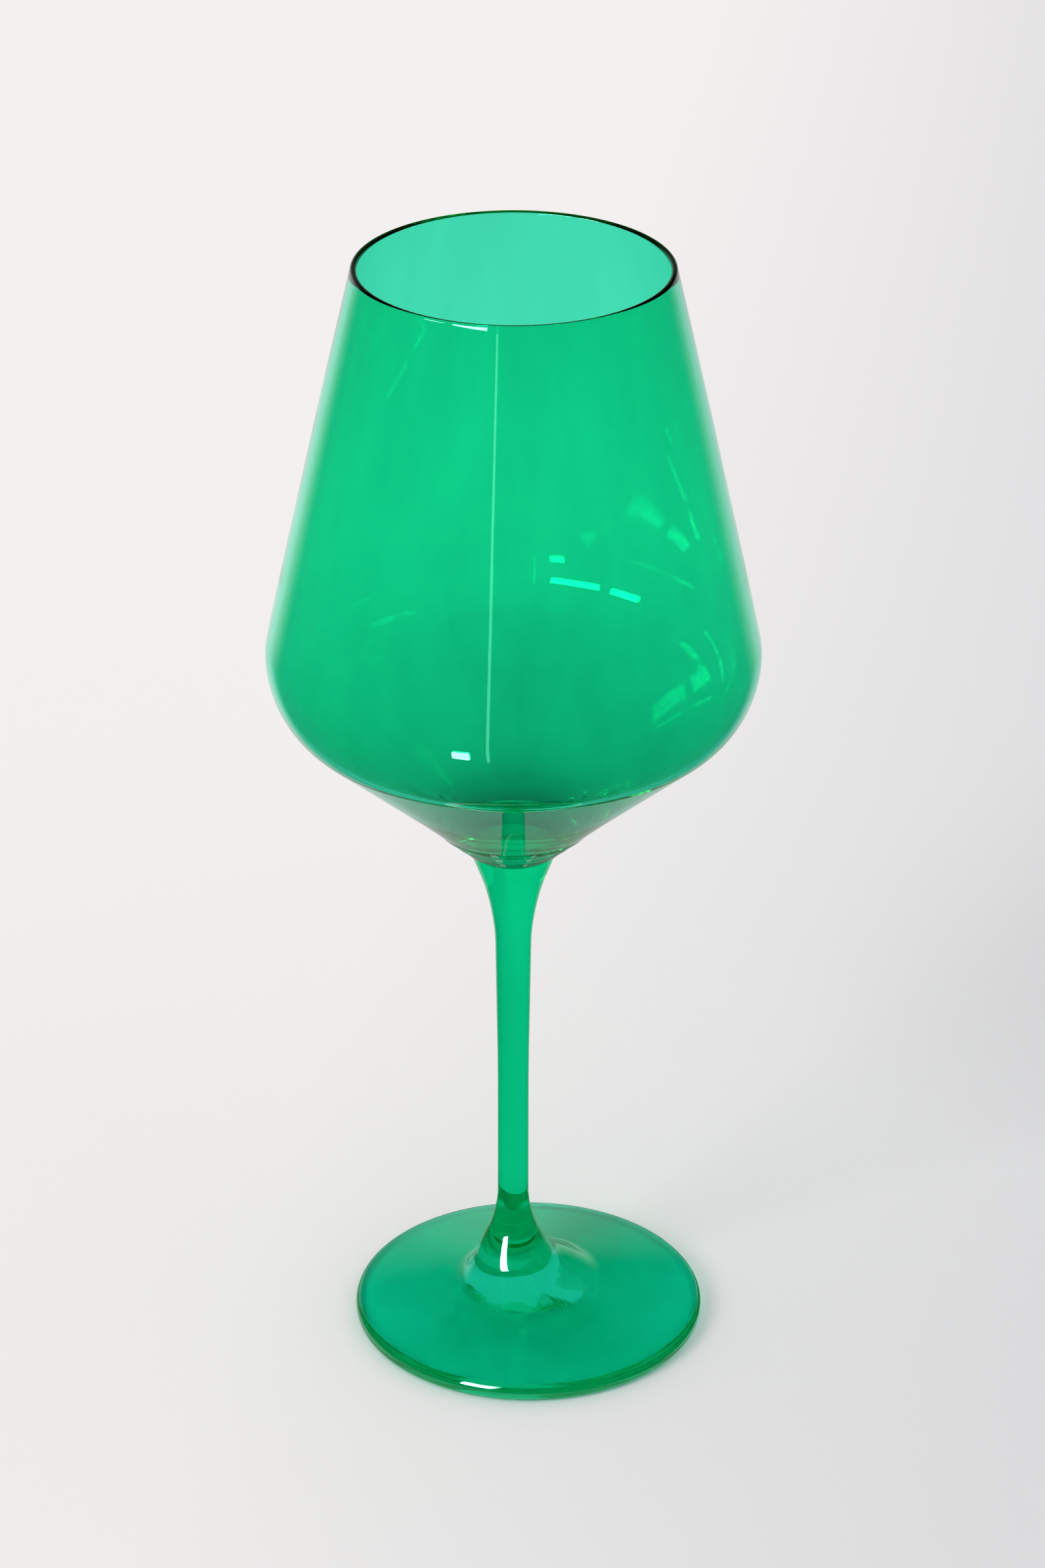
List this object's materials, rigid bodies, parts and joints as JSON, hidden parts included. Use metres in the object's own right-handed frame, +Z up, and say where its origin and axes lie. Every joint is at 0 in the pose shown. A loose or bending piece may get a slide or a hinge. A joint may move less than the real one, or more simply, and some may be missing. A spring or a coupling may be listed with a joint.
{
  "type": "wine glass",
  "caption": "Hand-blown stemmed wine glass in green body-coloured glass: a tapered bowl with a rounded shoulder over a cone, a slim solid stem and a spread round foot.",
  "frame": {"origin": "on the table, under the axis of the bowl and stem", "axes": "+Z up along the axis of the bowl and stem; +X to the right and +Y to the back of the glass as it is usually shown"},
  "size_m": [0.0968, 0.0968, 0.23],
  "materials": {
    "green_glass": "fire-polished gloss"
  },
  "bodies": {
    "root": {"bowl": "green_glass", "stem": "green_glass", "foot": "green_glass"}
  },
  "joints": []
}
